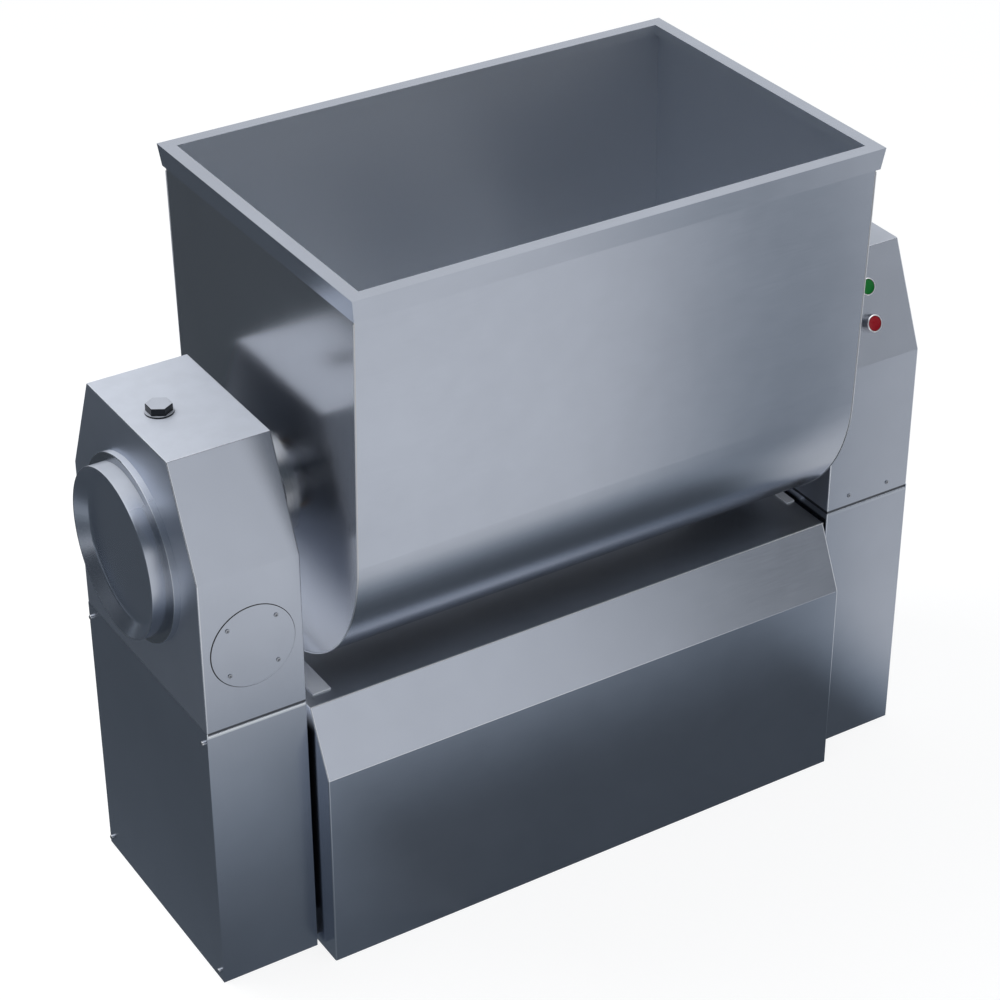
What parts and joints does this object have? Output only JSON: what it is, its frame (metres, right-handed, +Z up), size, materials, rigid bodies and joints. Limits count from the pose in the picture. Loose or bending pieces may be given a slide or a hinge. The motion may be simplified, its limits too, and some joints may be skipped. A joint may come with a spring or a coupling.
{
  "type": "meat mixer",
  "caption": "Floor-standing stainless steel meat mixer with a motor-tilted tub between two pillars and paddles on one shaft.",
  "frame": {"origin": "on the floor, midway between the two pillars and midway between their front and rear faces", "axes": "+Z up, +X along the machine towards the push buttons' pillar, -Y towards the front, where the tub tips"},
  "size_m": [1.55, 0.674, 1.3675],
  "materials": {
    "satin_stainless": "satin",
    "sheet_steel": "satin",
    "painted_steel": "satin",
    "screw_steel": "polished",
    "cast_iron": "matte",
    "bronze": "satin",
    "gear_steel": "satin",
    "motor_aluminium": "satin",
    "belt_rubber": "matte",
    "seal_rubber": "matte",
    "chrome_ring": "polished",
    "green_plastic": "gloss",
    "red_plastic": "gloss",
    "black_plastic": "matte",
    "white_plastic": "satin"
  },
  "bodies": {
    "root": {"floor_plate": "sheet_steel", "cross_rails": "painted_steel", "side_frame_left": "painted_steel", "side_frame_right": "painted_steel", "apron_casing": "satin_stainless", "base_top_plate": "satin_stainless", "base_rear_panel": "satin_stainless", "rest_strips": "white_plastic", "lower_box_left": "satin_stainless", "lower_box_right": "satin_stainless", "side_panel_left": "satin_stainless", "side_panel_right": "satin_stainless", "side_panel_screws": "screw_steel", "deck_plate_left": "satin_stainless", "deck_plate_right": "satin_stainless", "upper_cover_left": "satin_stainless", "upper_cover_right": "satin_stainless", "inspection_cover": "satin_stainless", "cover_screws": "screw_steel", "filler_plug": "screw_steel", "filler_plug_washer": "screw_steel", "drive_cap_ring": "satin_stainless", "drive_cap": "satin_stainless", "gearbox_housing": "cast_iron", "gearbox_cover": "cast_iron", "gearbox_partition": "cast_iron", "gear_shaft_bearings": "bronze", "v_belts": "belt_rubber", "motor_mount": "painted_steel", "main_motor": "motor_aluminium", "trunnion_bearings": "bronze", "tilt_gearbox": "cast_iron", "tilt_motor": "motor_aluminium", "button_bezels": "chrome_ring", "contact_blocks": "black_plastic", "control_box": "painted_steel", "cable_gland": "black_plastic"},
    "tub": {"tub_shell": "satin_stainless", "tub_end_plate_left": "satin_stainless", "tub_end_plate_right": "satin_stainless", "tub_rim": "satin_stainless", "trunnion_left": "satin_stainless", "trunnion_right": "satin_stainless", "trunnion_bolts": "screw_steel", "shaft_seals": "seal_rubber", "shaft_end_bush": "bronze", "tilt_gear": "gear_steel"},
    "mixing_shaft_body": {"mixing_shaft": "satin_stainless", "mixing_paddles": "satin_stainless", "main_gear": "gear_steel"},
    "idler": {"idler_shaft": "gear_steel", "idler_gear": "gear_steel"},
    "drive": {"drive_shaft": "gear_steel", "driven_pulley": "cast_iron", "pulley_nut": "screw_steel"},
    "motor_rotor": {"motor_shaft": "gear_steel", "motor_pulley": "cast_iron"},
    "tilt_pinion_body": {"tilt_pinion": "gear_steel"},
    "start_button_body": {"start_button": "green_plastic"},
    "stop_button_body": {"stop_button": "red_plastic"}
  },
  "joints": [
    {"name": "tub_tilt", "type": "hinge", "parent": "root", "child": "tub", "pos_m": [0, -0.0315, 0.868], "axis": [1, 0, 0], "range_deg": [0, 90]},
    {"name": "shaft_spin", "type": "hinge", "parent": "root", "child": "mixing_shaft_body", "pos_m": [0, -0.0315, 0.868], "axis": [1, 0, 0], "continuous": true},
    {"name": "idler_spin", "type": "hinge", "parent": "root", "child": "idler", "pos_m": [-0.61, -0.10442, 0.71443], "axis": [1, 0, 0], "continuous": true},
    {"name": "drive_spin", "type": "hinge", "parent": "root", "child": "drive", "pos_m": [-0.61, 0, 0.8], "axis": [1, 0, 0], "continuous": true},
    {"name": "motor_spin", "type": "hinge", "parent": "root", "child": "motor_rotor", "pos_m": [-0.706, 0, 0.25], "axis": [1, 0, 0], "continuous": true},
    {"name": "tilt_pinion_spin", "type": "hinge", "parent": "root", "child": "tilt_pinion_body", "pos_m": [0.602, -0.0315, 0.693], "axis": [1, 0, 0], "range_deg": [-360, 0]},
    {"name": "start_press", "type": "slide", "parent": "root", "child": "start_button_body", "axis": [0, 0.92, -0.3919], "range_m": [0, 0.004], "stiffness_N_per_m": 600},
    {"name": "stop_press", "type": "slide", "parent": "root", "child": "stop_button_body", "axis": [0, 0.92, -0.3919], "range_m": [0, 0.004], "stiffness_N_per_m": 600}
  ],
  "couplings": [
    {"joint": "idler_spin", "follows": "shaft_spin", "ratio": -4},
    {"joint": "drive_spin", "follows": "shaft_spin", "ratio": 14},
    {"joint": "motor_spin", "follows": "shaft_spin", "ratio": 28},
    {"joint": "tilt_pinion_spin", "follows": "tub_tilt", "ratio": -4}
  ]
}
